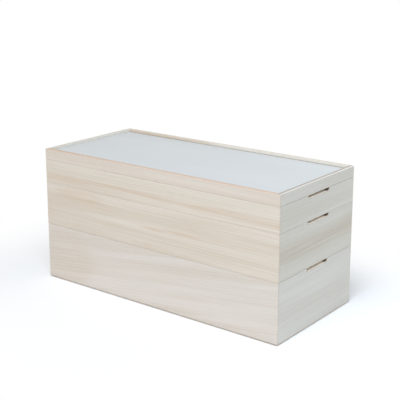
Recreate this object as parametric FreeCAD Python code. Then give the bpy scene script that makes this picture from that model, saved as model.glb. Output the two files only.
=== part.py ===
import FreeCAD, Part
import math
import os

from FreeCAD import Vector

# Stacking clothes chest of paulownia boards: a lid and three open boxes, one on the other,
# with four swivel casters out of sight behind the foot of the lower box.
# Millimetres. X runs along the chest, Y from front to back, Z up from the floor.

# The chest
WIDTH = 950.0
DEPTH = 430.0
WALL = 13.0
FLOOR_GAP = 4.0
LOWER_HEIGHT = 191.0
MIDDLE_HEIGHT = 148.0
UPPER_HEIGHT = 80.0
LID_HEIGHT = 37.0

# Corner joints and worked edges of a frame of four boards
CORNER_LIP = 5.0
CORNER_ROUND = 2.5
TOP_ROUND = 2.0
FOOT_ROUND = 1.0
MOUTH_EASE = 1.0

# Boards let into grooves
GROOVE_DEPTH = 5.0
BASE_THICKNESS = 5.0
BASE_RISE = 8.0
PANEL_THICKNESS = 5.0
PANEL_RECESS = 10.0

# Finger slots in the upper edge of each end board
SLOT_LENGTH = 120.0
SLOT_DEPTH = 8.0
SLOT_CORNER = 6.0
SLOT_EASE = 1.0

# Battens that drop inside the box below and keep the stack in line
BATTEN_WIDTH = 17.0
BATTEN_DROP = 12.0
BATTEN_CLEARANCE = 1.0
BATTEN_CHAMFER = 3.0

# Countersunk screws through the battens; a cover is the wood left beyond a screw's point
LONG_BATTEN_SCREWS = 4
END_BATTEN_SCREWS = 2
BATTEN_SCREW_INSET = 70.0
BATTEN_SCREW_RADIUS = 1.75
BATTEN_SCREW_HEAD_RADIUS = 3.5
BATTEN_SCREW_HEAD_HEIGHT = 1.8
RIM_SCREW_COVER = 5.0
BASE_SCREW_COVER = 1.5
SCREW_TIP = 3.0
SCREW_FIT = 0.05

# Bearers under the base of the lower box, which the casters are screwed to
BEARER_THICKNESS = 15.0
BEARER_MARGIN = 21.0

# Caster wheel and axle
WHEEL_RADIUS = 16.0
WHEEL_WIDTH = 14.0
WHEEL_SHOULDER = 2.0
WHEEL_RIM = 4.0
WHEEL_WEB = 7.0
HUB_RADIUS = 5.0
HUB_PROUD = 0.5
HUB_CLEARANCE = 0.3
AXLE_RADIUS = 2.0
AXLE_CLEARANCE = 0.08
AXLE_FIT = 0.05
AXLE_HEAD_RADIUS = 3.4
AXLE_HEAD_HEIGHT = 1.2

# Pressed steel fork
CASTER_TRAIL = 12.0
WHEEL_CLEARANCE = 6.0
SWING_CLEARANCE = 14.0
FORK_STEEL = 1.8
FORK_BEND = 0.8
FORK_BOSS_RADIUS = 6.5
FORK_LEG_REACH = 9.0
CROWN_MARGIN = 3.5

# Ball race and kingpin, which the fork swivels on
RACE_GAP = 2.2
BALL_COUNT = 10
BALL_RADIUS = 1.5
BALL_CIRCLE_RADIUS = 9.5
BALL_CLEARANCE = 0.12
KINGPIN_RADIUS = 3.0
KINGPIN_FLARE = 1.8
KINGPIN_HEAD_RADIUS = 5.5
KINGPIN_HEAD_HEIGHT = 1.8
KINGPIN_CLEARANCE = 0.1

# Caster plate and its screws
PLATE_LENGTH = 42.0
PLATE_WIDTH = 36.0
PLATE_STEEL = 2.0
PLATE_CORNER = 5.0
PLATE_HOLE_INSET = 5.5
PLATE_SCREW_RADIUS = 1.75
PLATE_SCREW_HEAD_RADIUS = 3.4
PLATE_SCREW_HEAD_HEIGHT = 2.0
PLATE_SCREW_COVER = 5.0

# How far a cutter runs past the face that it cuts
OVERRUN = 5.0

# Places in the stack that follow from the sizes above
HALF_WIDTH = WIDTH / 2
HALF_DEPTH = DEPTH / 2
INNER_HALF_WIDTH = HALF_WIDTH - WALL
INNER_HALF_DEPTH = HALF_DEPTH - WALL
PLUG_HALF_WIDTH = INNER_HALF_WIDTH - BATTEN_CLEARANCE
PLUG_HALF_DEPTH = INNER_HALF_DEPTH - BATTEN_CLEARANCE
RING_HALF_WIDTH = PLUG_HALF_WIDTH - BATTEN_WIDTH
RING_HALF_DEPTH = PLUG_HALF_DEPTH - BATTEN_WIDTH
LID_WALL = WALL + BATTEN_CLEARANCE
MIDDLE_FOOT = FLOOR_GAP + LOWER_HEIGHT
UPPER_FOOT = MIDDLE_FOOT + MIDDLE_HEIGHT
LID_FOOT = UPPER_FOOT + UPPER_HEIGHT
LID_TOP = LID_FOOT + LID_HEIGHT

# Levels and places in a caster, counted up from the floor
CROWN_UNDERSIDE = WHEEL_RADIUS + WHEEL_RADIUS + WHEEL_CLEARANCE
CROWN_TOP = CROWN_UNDERSIDE + FORK_STEEL
PLATE_UNDERSIDE = CROWN_TOP + RACE_GAP
CASTER_HEIGHT = PLATE_UNDERSIDE + PLATE_STEEL
BALL_LEVEL = (PLATE_UNDERSIDE + CROWN_TOP) / 2
CROWN_RADIUS = BALL_CIRCLE_RADIUS + CROWN_MARGIN
HALF_HUB = WHEEL_WIDTH / 2 + HUB_PROUD
FORK_HALF_GAP = HALF_HUB + HUB_CLEARANCE
FORK_HALF_WIDTH = FORK_HALF_GAP + FORK_STEEL
CASTER_INSET = CASTER_TRAIL + WHEEL_RADIUS + SWING_CLEARANCE
CASTER_X = INNER_HALF_WIDTH - CASTER_INSET
CASTER_Y = INNER_HALF_DEPTH - CASTER_INSET
AXLE_CENTRE = Vector(-CASTER_TRAIL, 0, WHEEL_RADIUS)


# Drawing helpers


def block(low, high):
    """Box between two opposite corners."""
    size = high - low
    return Part.makeBox(size.x, size.y, size.z, low)


def in_xy(u, v):
    return Vector(u, v, 0)


def in_xz(u, v):
    return Vector(u, 0, v)


def in_yz(u, v):
    return Vector(0, u, v)


def rounded_wire(corners, plane):
    """Closed wire through corners (u, v, radius), each rounded by its own radius; 0 is a sharp corner."""
    points = [Vector(u, v, 0) for u, v, radius in corners]
    spans = []
    for i, (u, v, radius) in enumerate(corners):
        here = points[i]
        back = (points[i - 1] - here).normalize()
        ahead = (points[(i + 1) % len(points)] - here).normalize()
        half_angle = back.getAngle(ahead) / 2
        reach = radius / math.tan(half_angle)
        middle = here + (back + ahead).normalize() * (radius / math.sin(half_angle) - radius)
        spans.append((here + back * reach, middle, here + ahead * reach))
    edges = []
    for i, (start, middle, end) in enumerate(spans):
        if corners[i][2] > 0:
            arc = [plane(p.x, p.y) for p in (start, middle, end)]
            edges.append(Part.Arc(*arc).toShape())
        following = spans[(i + 1) % len(spans)][0]
        edges.append(Part.LineSegment(plane(end.x, end.y), plane(following.x, following.y)).toShape())
    return Part.Wire(edges)


def prism(corners, plane, start, end):
    """Solid of an outline drawn in a plane, from start to end along that plane's normal."""
    normal = plane(1, 0).cross(plane(0, 1))
    along = Vector(abs(normal.x), abs(normal.y), abs(normal.z))
    face = Part.Face(rounded_wire(corners, plane))
    face.translate(along * start)
    return face.extrude(along * (end - start))


def rectangle(half_u, low_v, high_v, low_radius, high_radius):
    """Corners of a rectangle that is centred across, with one radius below and one above."""
    return [
        (-half_u, low_v, low_radius),
        (half_u, low_v, low_radius),
        (half_u, high_v, high_radius),
        (-half_u, high_v, high_radius),
    ]


def turned(half_section, axis):
    """Solid turned about an axis through the origin, from (radius, along) points."""
    across = Vector(0, 0, 1) if axis.y else Vector(1, 0, 0)
    points = [across * radius + axis * along for radius, along in half_section]
    face = Part.Face(Part.makePolygon(points + points[:1]))
    return face.revolve(Vector(), axis, 360)


def both_ends(one_end):
    """Half section that is alike at both ends, from the points of one end."""
    return one_end + [(radius, -along) for radius, along in reversed(one_end)]


def cut_all(shape, tools):
    """Shape less all the tools that reach it."""
    for tool in tools:
        if shape.BoundBox.intersect(tool.BoundBox):
            shape = shape.cut(tool)
    return shape


# Frames of four boards


def frame(foot, height, wall):
    """Four-sided frame with rounded outer edges and an eased mouth, before it is parted into boards."""
    top = foot + height
    across = prism(rectangle(HALF_DEPTH, foot, top, FOOT_ROUND, TOP_ROUND), in_yz, -HALF_WIDTH, HALF_WIDTH)
    along = prism(rectangle(HALF_WIDTH, foot, top, FOOT_ROUND, TOP_ROUND), in_xz, -HALF_DEPTH, HALF_DEPTH)
    plan = prism(rectangle(HALF_WIDTH, -HALF_DEPTH, HALF_DEPTH, CORNER_ROUND, CORNER_ROUND), in_xy, foot, top)
    inner_x = HALF_WIDTH - wall
    inner_y = HALF_DEPTH - wall
    inside = block(Vector(-inner_x, -inner_y, foot - OVERRUN), Vector(inner_x, inner_y, top + OVERRUN))
    return across.common(along).common(plan).cut(inside).cut(mouth(inner_x, inner_y, top))


def mouth(inner_x, inner_y, top):
    """Cutter that eases the inner edge round the top of a frame."""
    rings = []
    for level, spread in ((top - MOUTH_EASE, 0), (top + MOUTH_EASE, MOUTH_EASE + MOUTH_EASE)):
        half_x = inner_x + spread
        half_y = inner_y + spread
        corners = [(-half_x, -half_y), (half_x, -half_y), (half_x, half_y), (-half_x, half_y)]
        points = [Vector(x, y, level) for x, y in corners]
        rings.append(Part.makePolygon(points + points[:1]))
    return Part.makeLoft(rings, True, True)


def part_frame(stock, foot, height, wall):
    """Long boards rebated at both ends, and end boards that seat in the rebates behind the lips."""
    top = foot + height
    rebate = HALF_DEPTH - CORNER_LIP
    inner_x = HALF_WIDTH - wall
    inner_y = HALF_DEPTH - wall
    long_board = [
        (-HALF_WIDTH, HALF_DEPTH, 0),
        (-HALF_WIDTH, rebate, 0),
        (-inner_x, rebate, 0),
        (-inner_x, inner_y, 0),
        (inner_x, inner_y, 0),
        (inner_x, rebate, 0),
        (HALF_WIDTH, rebate, 0),
        (HALF_WIDTH, HALF_DEPTH, 0),
    ]
    boards = {}
    for name, side in (("front", -1), ("back", 1)):
        blank = prism([(u, v * side, radius) for u, v, radius in long_board], in_xy, foot, top)
        boards[name] = stock.common(blank)
    for name, side in (("left", -1), ("right", 1)):
        low_x, high_x = sorted((side * inner_x, side * HALF_WIDTH))
        boards[name] = stock.common(block(Vector(low_x, -rebate, foot), Vector(high_x, rebate, top)))
    return boards


def grooved_board(underside, thickness):
    """Thin board let into the groove that runs round the inside of a frame."""
    half_x = INNER_HALF_WIDTH + GROOVE_DEPTH
    half_y = INNER_HALF_DEPTH + GROOVE_DEPTH
    return block(Vector(-half_x, -half_y, underside), Vector(half_x, half_y, underside + thickness))


def slot_outline(top, spread):
    """Open slot below the top of an end board, widened all round by spread."""
    half = SLOT_LENGTH / 2 + spread
    bottom = top - SLOT_DEPTH - spread
    corner = SLOT_CORNER + spread
    above = top + OVERRUN
    return [(-half, above, 0), (-half, bottom, corner), (half, bottom, corner), (half, above, 0)]


def finger_slot(side, top):
    """Cutter for the slot in an end board, flared where it breaks out of both faces."""
    cutter = prism(slot_outline(top, 0), in_yz, INNER_HALF_WIDTH - OVERRUN, HALF_WIDTH + OVERRUN)
    for face_x, outwards in ((HALF_WIDTH, 1), (INNER_HALF_WIDTH, -1)):
        sections = []
        for depth, spread in ((-SLOT_EASE, 0), (SLOT_EASE, SLOT_EASE + SLOT_EASE)):
            wire = rounded_wire(slot_outline(top, spread), in_yz)
            wire.translate(Vector(face_x + outwards * depth, 0, 0))
            sections.append(wire)
        cutter = cutter.fuse(Part.makeLoft(sections, True, True))
    if side < 0:
        cutter = cutter.mirror(Vector(), Vector(1, 0, 0))
    return cutter


# Battens and their screws


def batten_profile(half, tip, seat):
    """Outline across a ring of battens, chamfered round its foot so that it drops in easily."""
    one_end = [(half, seat, 0), (half, tip + BATTEN_CHAMFER, 0), (half - BATTEN_CHAMFER, tip, 0)]
    return one_end + [(-u, v, radius) for u, v, radius in reversed(one_end)]


def battens(foot, seat):
    """Ring of four rails: the long ones run from end to end, the short ones fit between them."""
    tip = foot - BATTEN_DROP
    across = prism(batten_profile(PLUG_HALF_DEPTH, tip, seat), in_yz, -PLUG_HALF_WIDTH, PLUG_HALF_WIDTH)
    along = prism(batten_profile(PLUG_HALF_WIDTH, tip, seat), in_xz, -PLUG_HALF_DEPTH, PLUG_HALF_DEPTH)
    plug = across.common(along)
    rails = {}
    for name, side in (("front", -1), ("back", 1)):
        low_y, high_y = sorted((side * RING_HALF_DEPTH, side * PLUG_HALF_DEPTH))
        blank = block(Vector(-PLUG_HALF_WIDTH, low_y, tip), Vector(PLUG_HALF_WIDTH, high_y, seat))
        rails[name] = plug.common(blank)
    for name, side in (("left", -1), ("right", 1)):
        low_x, high_x = sorted((side * RING_HALF_WIDTH, side * PLUG_HALF_WIDTH))
        blank = block(Vector(low_x, -RING_HALF_DEPTH, tip), Vector(high_x, RING_HALF_DEPTH, seat))
        rails[name] = plug.common(blank)
    return rails


def countersunk_screw(length, fit):
    """Wood screw with its flat head at the origin and its point up; fit grows it into its own hole."""
    half_section = [
        (0, 0),
        (BATTEN_SCREW_HEAD_RADIUS + fit, 0),
        (BATTEN_SCREW_RADIUS + fit, BATTEN_SCREW_HEAD_HEIGHT + fit),
        (BATTEN_SCREW_RADIUS + fit, length - SCREW_TIP),
        (0, length + fit),
    ]
    return turned(half_section, Vector(0, 0, 1))


def spread(half_run, count):
    """Places along a batten, from inset to inset."""
    last = half_run - BATTEN_SCREW_INSET
    step = (last + last) / (count - 1)
    return [-last + step * i for i in range(count)]


def screw_rows():
    """For each batten, the way outwards and the places of its screws along its inner edge."""
    rows = {}
    for name, side in (("front", -1), ("back", 1)):
        places = [Vector(x, side * RING_HALF_DEPTH, 0) for x in spread(PLUG_HALF_WIDTH, LONG_BATTEN_SCREWS)]
        rows[name] = (Vector(0, side, 0), places)
    for name, side in (("left", -1), ("right", 1)):
        places = [Vector(side * RING_HALF_WIDTH, y, 0) for y in spread(RING_HALF_DEPTH, END_BATTEN_SCREWS)]
        rows[name] = (Vector(side, 0, 0), places)
    return rows


def upright_screws(row, foot, seat, fit):
    """Screws that go up through the flat tip of a batten into the base above it."""
    outwards, places = row
    tip = foot - BATTEN_DROP
    flat = BATTEN_WIDTH - BATTEN_CHAMFER
    screw = countersunk_screw(seat - tip + BASE_THICKNESS - BASE_SCREW_COVER, fit)
    screw.translate(outwards * (flat / 2) + Vector(0, 0, tip))
    return [screw.translated(place) for place in places]


def level_screws(row, foot, seat, fit):
    """Screws that go outwards through a batten into the lid's rim."""
    outwards, places = row
    screw = countersunk_screw(BATTEN_WIDTH + LID_WALL - RIM_SCREW_COVER, fit)
    screw.rotate(Vector(), Vector(0, 0, 1).cross(outwards), 90)
    screw.translate(Vector(0, 0, (foot + seat) / 2))
    return [screw.translated(place) for place in places]


# The lid


def make_lid():
    """Rim of four boards round a panel, with a ring of battens screwed inside it."""
    seat = LID_TOP - PANEL_RECESS - PANEL_THICKNESS
    panel = grooved_board(seat, PANEL_THICKNESS)
    stock = frame(LID_FOOT, LID_HEIGHT, LID_WALL).cut(panel)
    boards = part_frame(stock, LID_FOOT, LID_HEIGHT, LID_WALL)
    pieces = {"lid_panel": panel}
    rails = battens(LID_FOOT, seat)
    screws = []
    for name, row in screw_rows().items():
        holes = level_screws(row, LID_FOOT, seat, SCREW_FIT)
        screws += level_screws(row, LID_FOOT, seat, 0)
        pieces[f"lid_{name}_rim"] = cut_all(boards[name], holes)
        pieces[f"lid_{name}_batten"] = cut_all(rails[name], holes)
    pieces["lid_batten_screws"] = Part.makeCompound(screws)
    return pieces


# The boxes


def box_walls(name, foot, height, base):
    """Four boards of a box, grooved for its base, with a finger slot in each end."""
    boards = part_frame(frame(foot, height, WALL).cut(base), foot, height, WALL)
    pieces = {}
    for side_name in ("front", "back"):
        pieces[f"{name}_{side_name}_board"] = boards[side_name]
    for side_name, side in (("left", -1), ("right", 1)):
        pieces[f"{name}_{side_name}_end"] = boards[side_name].cut(finger_slot(side, foot + height))
    return pieces


def make_stacking_box(name, foot, height):
    """Box with a ring of battens under its base, which drops into the box below."""
    seat = foot + BASE_RISE
    base = grooved_board(seat, BASE_THICKNESS)
    pieces = box_walls(name, foot, height, base)
    rails = battens(foot, seat)
    screws = []
    for side_name, row in screw_rows().items():
        holes = upright_screws(row, foot, seat, SCREW_FIT)
        screws += upright_screws(row, foot, seat, 0)
        base = cut_all(base, holes)
        pieces[f"{name}_{side_name}_batten"] = cut_all(rails[side_name], holes)
    pieces[f"{name}_base"] = base
    pieces[f"{name}_batten_screws"] = Part.makeCompound(screws)
    return pieces


def make_lower_box():
    """Box with its base raised over the casters, and a bearer under each end of the base."""
    seat = CASTER_HEIGHT + BEARER_THICKNESS
    base = grooved_board(seat, BASE_THICKNESS)
    pieces = box_walls("lower_box", FLOOR_GAP, LOWER_HEIGHT, base)
    pieces["lower_box_base"] = base
    bearer_width = CASTER_INSET + PLATE_LENGTH / 2 + BEARER_MARGIN
    for name, side in (("left", -1), ("right", 1)):
        low_x, high_x = sorted((side * INNER_HALF_WIDTH, side * (INNER_HALF_WIDTH - bearer_width)))
        low = Vector(low_x, -INNER_HALF_DEPTH, CASTER_HEIGHT)
        high = Vector(high_x, INNER_HALF_DEPTH, seat)
        pieces[f"{name}_caster_bearer"] = cut_all(block(low, high), plate_screws(SCREW_FIT))
    pieces["caster_screws"] = Part.makeCompound(plate_screws(0))
    return pieces


# The casters, each drawn about its own swivel axis and then moved to its corner


def caster_places():
    """Name and swivel axis of each caster."""
    return {
        "front_left": Vector(-CASTER_X, -CASTER_Y, 0),
        "front_right": Vector(CASTER_X, -CASTER_Y, 0),
        "back_left": Vector(-CASTER_X, CASTER_Y, 0),
        "back_right": Vector(CASTER_X, CASTER_Y, 0),
    }


def plate_hole_places():
    """Screw holes of a caster plate, from its swivel axis."""
    half_x = PLATE_LENGTH / 2 - PLATE_HOLE_INSET
    half_y = PLATE_WIDTH / 2 - PLATE_HOLE_INSET
    return [Vector(x, y, PLATE_UNDERSIDE) for x in (-half_x, half_x) for y in (-half_y, half_y)]


def plate_screw(fit):
    """Pan-headed wood screw, head down against the plate; fit grows its shank into its own hole."""
    length = PLATE_STEEL + BEARER_THICKNESS - PLATE_SCREW_COVER
    half_height = PLATE_SCREW_HEAD_HEIGHT / 2
    half_section = [
        (0, -PLATE_SCREW_HEAD_HEIGHT),
        (PLATE_SCREW_HEAD_RADIUS - half_height, -PLATE_SCREW_HEAD_HEIGHT),
        (PLATE_SCREW_HEAD_RADIUS, -half_height),
        (PLATE_SCREW_HEAD_RADIUS, 0),
        (PLATE_SCREW_RADIUS + fit, 0),
        (PLATE_SCREW_RADIUS + fit, length - SCREW_TIP),
        (0, length + fit),
    ]
    return turned(half_section, Vector(0, 0, 1))


def plate_screws(fit):
    """Every caster screw, in place."""
    screw = plate_screw(fit)
    places = [place + hole for place in caster_places().values() for hole in plate_hole_places()]
    return [screw.translated(place) for place in places]


def kingpin(fit):
    """Rivet flared flush into the plate, headed under the crown; fit grows it into the plate's hole."""
    head_top = CROWN_UNDERSIDE - KINGPIN_CLEARANCE
    head_foot = head_top - KINGPIN_HEAD_HEIGHT
    half_height = KINGPIN_HEAD_HEIGHT / 2
    half_section = [
        (0, head_foot),
        (KINGPIN_HEAD_RADIUS - half_height, head_foot),
        (KINGPIN_HEAD_RADIUS, head_foot + half_height),
        (KINGPIN_HEAD_RADIUS, head_top),
        (KINGPIN_RADIUS + fit, head_top),
        (KINGPIN_RADIUS + fit, CASTER_HEIGHT - KINGPIN_FLARE),
        (KINGPIN_RADIUS + KINGPIN_FLARE + fit, CASTER_HEIGHT),
        (0, CASTER_HEIGHT),
    ]
    return turned(half_section, Vector(0, 0, 1))


def race_groove():
    """Cutter for the ball groove in the plate and in the crown."""
    return Part.makeTorus(BALL_CIRCLE_RADIUS, BALL_RADIUS + BALL_CLEARANCE, Vector(0, 0, BALL_LEVEL))


def race_balls():
    """Ring of balls between the plate and the crown."""
    balls = []
    for i in range(BALL_COUNT):
        ball = Part.makeSphere(BALL_RADIUS, Vector(BALL_CIRCLE_RADIUS, 0, BALL_LEVEL))
        ball.rotate(Vector(), Vector(0, 0, 1), 360 * i / BALL_COUNT)
        balls.append(ball)
    return balls


def plate():
    """Mounting plate with a screw hole near each corner and the upper half of the ball race."""
    corners = rectangle(PLATE_LENGTH / 2, -PLATE_WIDTH / 2, PLATE_WIDTH / 2, PLATE_CORNER, PLATE_CORNER)
    sheet = prism(corners, in_xy, PLATE_UNDERSIDE, CASTER_HEIGHT)
    screw = plate_screw(SCREW_FIT)
    holes = [screw.translated(place) for place in plate_hole_places()]
    return cut_all(sheet, holes + [kingpin(SCREW_FIT), race_groove()])


def tangent_point(point, centre, radius, turn):
    """Where a line from a point touches a circle, on the side that turn (1 or -1) names."""
    away = point - centre
    angle = math.atan2(away.z, away.x) + turn * math.acos(radius / away.Length)
    return centre + Vector(math.cos(angle), 0, math.sin(angle)) * radius


def fork_outline():
    """Side view of the fork: both edges of a leg run from the crown to a round boss about the axle."""
    front_root = Vector(FORK_LEG_REACH, 0, CROWN_UNDERSIDE)
    back_root = Vector(-CROWN_RADIUS, 0, CROWN_UNDERSIDE)
    front_touch = tangent_point(front_root, AXLE_CENTRE, FORK_BOSS_RADIUS, -1)
    back_touch = tangent_point(back_root, AXLE_CENTRE, FORK_BOSS_RADIUS, 1)
    boss_foot = AXLE_CENTRE - Vector(0, 0, FORK_BOSS_RADIUS)
    rise = Vector(0, 0, FORK_STEEL)
    edges = [
        Part.LineSegment(back_touch, back_root).toShape(),
        Part.LineSegment(back_root, back_root + rise).toShape(),
        Part.LineSegment(back_root + rise, front_root + rise).toShape(),
        Part.LineSegment(front_root + rise, front_root).toShape(),
        Part.LineSegment(front_root, front_touch).toShape(),
        Part.Arc(front_touch, boss_foot, back_touch).toShape(),
    ]
    side = Part.Face(Part.Wire(edges))
    side.translate(Vector(0, -FORK_HALF_WIDTH, 0))
    return side.extrude(Vector(0, FORK_HALF_WIDTH + FORK_HALF_WIDTH, 0))


def fork():
    """Channel of pressed steel, trimmed to its side outline, under a round crown."""
    foot = WHEEL_RADIUS - FORK_BOSS_RADIUS
    channel = [
        (-FORK_HALF_WIDTH, foot, 0),
        (-FORK_HALF_WIDTH, CROWN_TOP, FORK_BEND + FORK_STEEL),
        (FORK_HALF_WIDTH, CROWN_TOP, FORK_BEND + FORK_STEEL),
        (FORK_HALF_WIDTH, foot, 0),
        (FORK_HALF_GAP, foot, 0),
        (FORK_HALF_GAP, CROWN_UNDERSIDE, FORK_BEND),
        (-FORK_HALF_GAP, CROWN_UNDERSIDE, FORK_BEND),
        (-FORK_HALF_GAP, foot, 0),
    ]
    back = -CASTER_TRAIL - FORK_BOSS_RADIUS
    legs = prism(channel, in_yz, back, FORK_LEG_REACH).common(fork_outline())
    crown = Part.makeCylinder(CROWN_RADIUS, FORK_STEEL, Vector(0, 0, CROWN_UNDERSIDE))
    pin_hole_radius = KINGPIN_RADIUS + KINGPIN_CLEARANCE
    pin_hole = Part.makeCylinder(pin_hole_radius, FORK_STEEL, Vector(0, 0, CROWN_UNDERSIDE))
    axle_hole_radius = AXLE_RADIUS + AXLE_FIT
    axle_start = AXLE_CENTRE - Vector(0, FORK_HALF_WIDTH, 0)
    axle_hole_length = FORK_HALF_WIDTH + FORK_HALF_WIDTH
    axle_hole = Part.makeCylinder(axle_hole_radius, axle_hole_length, axle_start, Vector(0, 1, 0))
    return crown.fuse(legs).removeSplitter().cut(pin_hole).cut(axle_hole).cut(race_groove())


def wheel():
    """Moulded wheel with a shouldered tread, a web set in from the rim, and a hub bored for the axle."""
    bore = AXLE_RADIUS + AXLE_CLEARANCE
    half_web = WHEEL_WEB / 2
    half_tread = WHEEL_WIDTH / 2
    rim = WHEEL_RADIUS - WHEEL_RIM
    one_end = [
        (bore, HALF_HUB),
        (HUB_RADIUS, HALF_HUB),
        (HUB_RADIUS, half_web),
        (rim, half_web),
        (rim, half_tread),
        (WHEEL_RADIUS - WHEEL_SHOULDER, half_tread),
        (WHEEL_RADIUS, half_tread - WHEEL_SHOULDER),
    ]
    return turned(both_ends(one_end), Vector(0, 1, 0)).translated(AXLE_CENTRE)


def axle():
    """Rivet through the fork's legs and the hub, headed at both ends."""
    one_end = [
        (0, FORK_HALF_WIDTH + AXLE_HEAD_HEIGHT),
        (AXLE_HEAD_RADIUS - AXLE_HEAD_HEIGHT, FORK_HALF_WIDTH + AXLE_HEAD_HEIGHT),
        (AXLE_HEAD_RADIUS, FORK_HALF_WIDTH),
        (AXLE_RADIUS, FORK_HALF_WIDTH),
    ]
    return turned(both_ends(one_end), Vector(0, 1, 0)).translated(AXLE_CENTRE)


def make_casters():
    """Four casters alike, with their wheels trailing to the left, as after a pull to the right."""
    drawings = {"plate": plate(), "kingpin": kingpin(0), "fork": fork(), "axle": axle(), "wheel": wheel()}
    pieces = {}
    balls = []
    for corner, place in caster_places().items():
        for name, drawing in drawings.items():
            pieces[f"{corner}_caster_{name}"] = drawing.translated(place)
        balls += [ball.translated(place) for ball in race_balls()]
    pieces["caster_race_balls"] = Part.makeCompound(balls)
    return pieces


def make_chest():
    """Every piece of the chest by its name."""
    pieces = make_lid()
    pieces.update(make_stacking_box("upper_box", UPPER_FOOT, UPPER_HEIGHT))
    pieces.update(make_stacking_box("middle_box", MIDDLE_FOOT, MIDDLE_HEIGHT))
    pieces.update(make_lower_box())
    pieces.update(make_casters())
    return pieces


os.makedirs("parts", exist_ok=True)
for node, shape in make_chest().items():
    shape.exportStep(f"parts/{node}.step")
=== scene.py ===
import bmesh
import bpy
import math
from mathutils import Matrix, Vector
from types import SimpleNamespace


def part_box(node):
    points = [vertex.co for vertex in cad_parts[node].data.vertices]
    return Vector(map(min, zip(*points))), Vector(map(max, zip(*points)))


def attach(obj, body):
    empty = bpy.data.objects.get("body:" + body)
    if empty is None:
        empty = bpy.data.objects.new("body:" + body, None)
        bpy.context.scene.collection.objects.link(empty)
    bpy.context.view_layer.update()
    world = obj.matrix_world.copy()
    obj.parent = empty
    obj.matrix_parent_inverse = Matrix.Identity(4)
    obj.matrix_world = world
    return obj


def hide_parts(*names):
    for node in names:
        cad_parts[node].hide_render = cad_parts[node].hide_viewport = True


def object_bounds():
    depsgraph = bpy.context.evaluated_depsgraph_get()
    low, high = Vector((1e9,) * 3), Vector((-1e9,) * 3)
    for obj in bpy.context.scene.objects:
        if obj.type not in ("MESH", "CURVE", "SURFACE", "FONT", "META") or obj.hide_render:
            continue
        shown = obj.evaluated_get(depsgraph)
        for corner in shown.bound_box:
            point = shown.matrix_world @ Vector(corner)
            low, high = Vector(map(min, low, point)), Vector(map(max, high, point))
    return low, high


# Stacking clothes chest of pale paulownia: three open boxes and a framed lid stand one on another,
# and the lowest box rolls on casters that its own walls hide.
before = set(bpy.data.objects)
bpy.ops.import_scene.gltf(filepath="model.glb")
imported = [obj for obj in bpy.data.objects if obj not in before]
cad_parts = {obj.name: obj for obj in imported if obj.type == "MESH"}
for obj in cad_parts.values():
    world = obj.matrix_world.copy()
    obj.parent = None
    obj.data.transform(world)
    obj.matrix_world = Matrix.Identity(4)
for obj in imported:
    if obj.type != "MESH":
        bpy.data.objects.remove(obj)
cad_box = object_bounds()

# Walls of the lower box
# The deepest box has four paulownia boards, 13 mm thick, glued up from strips, planed and left bare.
# The ends seat in rebates behind the lips of the long boards, and each end has a routed finger slot.
X, Y, Z = range(3)

# Lengths of the pieces are in millimetres, and MM of them make a metre
MM = 1000.0
STRIP_WIDTH = 95.0
STRIP_SHIFT = 0.37
RING_WIDTH = 8.0
RING_SWAY = 34.0
RING_RISE = 0.25
RING_PEAK = 0.9
RING_RELIEF = 0.5
STREAK_FADE = 140.0
STREAK_WANDER = 30.0
SEAM_ARRIS = 2.0
SEAM_SHARE = 0.15
SLOT_LENGTH = 120.0
CLEAN_FADE = 5.0
BAND_SHARE = 0.62
VEIN_SHARE = 0.30
STRIP_SHARE = 0.08
PALE_TONE = 0.38
TAN_TONE = 0.64
RAW_EDGE = "DCC7B2"
RAW_EDGE_SHARE = 0.8
END_GRAIN = "CFC8BD"
END_GRAIN_SHARE = 0.35
# Painted shade: the dark line of the seam where a board sits on the one below
SEAM_SHADE = "8E7E6C"
PLANED_RELIEF = {"Strength": 0.3, "Distance": 0.12 / MM}

# Marks in the wood are millimetres along and across the grain, and how much detail they have.
# Fibres are drawn coarser than real pores, so that they show.
SWAYS = (800.0, 70.0, 1.0)
BANDS = (600.0, 26.0, 2.0)
VEINS = (300.0, 5.0, 3.0)
FIBRES = (26.0, 0.9, 2.0)
SEED_STEPS = (1.7, 2.3, 0.9)

# Sockets: a colour mix goes from 6 to 7, and a map range reads from 1 to 2 and gives from 3 to 4
FROM = 6
TO = 7
COLOUR_MIX = {"data_type": "RGBA", "out": 2}
NOISE_SPAN = {1: 0.30, 2: 0.70}
NOISE_CORE = {1: 0.35, 2: 0.65}
SQUARE_ON = {1: 0.80, 2: 0.98}
RING_SHARES = {3: 0.08, 4: 0.30}
STREAK_PATCHES = {1: 0.30, 2: 0.60, 3: 0.20}
PORE_SHADES = {3: 0.96, 4: 1.03}
PLANED_ROUGHNESS = {3: 0.58, 4: 0.72}


def linear(colour):
    """Linear colour of an sRGB hex value."""
    parts = [int(colour[i:i + 2], 16) / 255 for i in (0, 2, 4)]
    return [p / 12.92 if p <= 0.04045 else ((p + 0.055) / 1.055) ** 2.4 for p in parts] + [1.0]


def add(tree, kind, inputs=None, out=0, stops=None, **settings):
    """Add a node with its settings, ramp stops, values and links, and return one of its outputs."""
    node = tree.nodes.new("ShaderNode" + kind)
    for name, value in settings.items():
        setattr(node, name, value)
    for i, (place, colour) in enumerate((stops or {}).items()):
        node.color_ramp.elements[i].position = place
        node.color_ramp.elements[i].color = linear(colour)
    for socket, value in (inputs or {}).items():
        if isinstance(value, bpy.types.NodeSocket):
            tree.links.new(value, node.inputs[socket])
        else:
            node.inputs[socket].default_value = value
    return node.outputs[out]


def blank_finish(name):
    """New material with nothing but its surface shader."""
    finish = bpy.data.materials.new(name)
    finish.use_nodes = True
    return finish.node_tree, finish.node_tree.nodes["Principled BSDF"].inputs, finish


def dress(node, finish):
    """Give a CAD node its finish."""
    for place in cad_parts[node].material_slots:
        place.material = finish


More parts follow.
